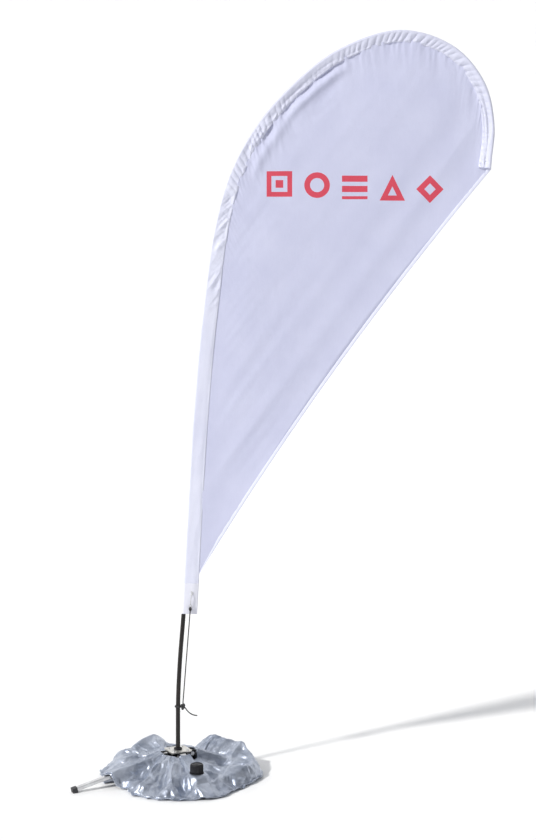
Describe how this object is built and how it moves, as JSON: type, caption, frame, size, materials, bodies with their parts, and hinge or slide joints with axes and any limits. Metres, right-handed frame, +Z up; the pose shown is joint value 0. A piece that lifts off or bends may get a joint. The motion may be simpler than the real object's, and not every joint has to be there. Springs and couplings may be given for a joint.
{
  "type": "teardrop flag",
  "caption": "Teardrop promotional flag on a bent pole that turns on a folding cross base, weighted by a silver water bag.",
  "frame": {"origin": "on the floor under the spindle's axis, at the middle of the post foot's underside", "axes": "+Z up along the spindle, +X towards the flag's free edge, -Y out of the flag's front"},
  "size_m": [1.5009, 0.56, 2.692],
  "materials": {
    "steel": "satin, zinc plated",
    "nylon": "moulded, fine grain",
    "rubber": "matt",
    "composite": "pultruded, satin black",
    "polyester": "knitted flag polyester, white, printed",
    "silver_cloth": "silver coated bag cloth, crumpled",
    "cord": "braided elastic cord"
  },
  "bodies": {
    "base": {"centre_post": "steel", "post_foot": "rubber", "hub_block": "nylon", "hub_plate": "steel", "plate_screw_1": "steel", "plate_screw_2": "steel", "plate_screw_3": "steel", "plate_screw_4": "steel", "leg_1_pin": "steel", "leg_2_pin": "steel", "leg_3_pin": "steel", "leg_4_pin": "steel", "leg_1_nut": "steel", "leg_2_nut": "steel", "leg_3_nut": "steel", "leg_4_nut": "steel", "bearing_outer_race": "steel", "bearing_ball_ring": "steel"},
    "leg_1": {"leg_1_outer": "steel", "leg_1_collar": "nylon"},
    "leg_1_slider": {"leg_1_inner": "steel", "leg_1_foot": "rubber"},
    "leg_2": {"leg_2_outer": "steel", "leg_2_collar": "nylon"},
    "leg_2_slider": {"leg_2_inner": "steel", "leg_2_foot": "rubber"},
    "leg_3": {"leg_3_outer": "steel", "leg_3_collar": "nylon"},
    "leg_3_slider": {"leg_3_inner": "steel", "leg_3_foot": "rubber"},
    "leg_4": {"leg_4_outer": "steel", "leg_4_collar": "nylon"},
    "leg_4_slider": {"leg_4_inner": "steel", "leg_4_foot": "rubber"},
    "spindle": {"bearing_inner_race": "steel", "spindle_rod": "steel", "spindle_collar": "nylon", "spindle_nut": "steel"},
    "flag_on_pole": {"pole_bottom_section": "composite", "lower_ferrule": "steel", "pole_middle_section": "composite", "upper_ferrule": "steel", "pole_tip_section": "composite", "pole_tip_cap": "nylon", "flag_panel": "polyester", "sleeve_lower": "polyester", "sleeve_upper": "polyester", "sleeve_cuff": "polyester", "tip_pocket": "polyester", "free_edge_hem": "polyester", "sleeve_eyelet": "steel", "tension_hook": "steel", "hook_knot": "cord", "tension_cord": "cord", "pole_knot": "cord", "cord_tail": "cord"},
    "bag": {"water_bag": "silver_cloth", "valve_neck": "nylon"},
    "seal": {"valve_seal": "rubber"},
    "cap": {"valve_cap": "nylon"}
  },
  "joints": [
    {"name": "leg_1_fold", "type": "hinge", "parent": "base", "child": "leg_1", "pos_m": [-0.04277, -0.02179, 0.084], "axis": [0.454, -0.891, 0], "range_deg": [0, 70]},
    {"name": "leg_2_fold", "type": "hinge", "parent": "base", "child": "leg_2", "pos_m": [0.02179, -0.04277, 0.084], "axis": [0.891, 0.454, 0], "range_deg": [0, 70]},
    {"name": "leg_3_fold", "type": "hinge", "parent": "base", "child": "leg_3", "pos_m": [0.04277, 0.02179, 0.084], "axis": [-0.454, 0.891, 0], "range_deg": [0, 70]},
    {"name": "leg_4_fold", "type": "hinge", "parent": "base", "child": "leg_4", "pos_m": [-0.02179, 0.04277, 0.084], "axis": [-0.891, -0.454, 0], "range_deg": [0, 70]},
    {"name": "leg_1_extend", "type": "slide", "parent": "leg_1", "child": "leg_1_slider", "axis": [-0.8703, -0.4434, -0.2143], "range_m": [-0.127, 0]},
    {"name": "leg_2_extend", "type": "slide", "parent": "leg_2", "child": "leg_2_slider", "axis": [0.428, -0.8399, -0.3337], "range_m": [0, 0.127]},
    {"name": "leg_3_extend", "type": "slide", "parent": "leg_3", "child": "leg_3_slider", "axis": [0.8399, 0.428, -0.3337], "range_m": [0, 0.127]},
    {"name": "leg_4_extend", "type": "slide", "parent": "leg_4", "child": "leg_4_slider", "axis": [-0.428, 0.8399, -0.3337], "range_m": [0, 0.127]},
    {"name": "flag_turn", "type": "hinge", "parent": "base", "child": "spindle", "pos_m": [0, 0, 0.1], "axis": [0, 0, 1], "continuous": true},
    {"name": "pole_lift", "type": "slide", "parent": "spindle", "child": "flag_on_pole", "axis": [0, 0, 1], "range_m": [0, 0.135]},
    {"name": "bag_lift", "type": "slide", "parent": "base", "child": "bag", "axis": [0, 0, 1], "range_m": [0, 0.12]},
    {"name": "cap_rise", "type": "slide", "parent": "bag", "child": "seal", "axis": [0, 0, 1], "range_m": [0, 0.01]},
    {"name": "cap_turn", "type": "hinge", "parent": "seal", "child": "cap", "pos_m": [0.077, -0.157, 0.1], "axis": [0, 0, 1], "range_deg": [0, 720]}
  ],
  "couplings": [
    {"joint": "cap_rise", "follows": "cap_turn", "m_per_rad": 0.00079577}
  ]
}
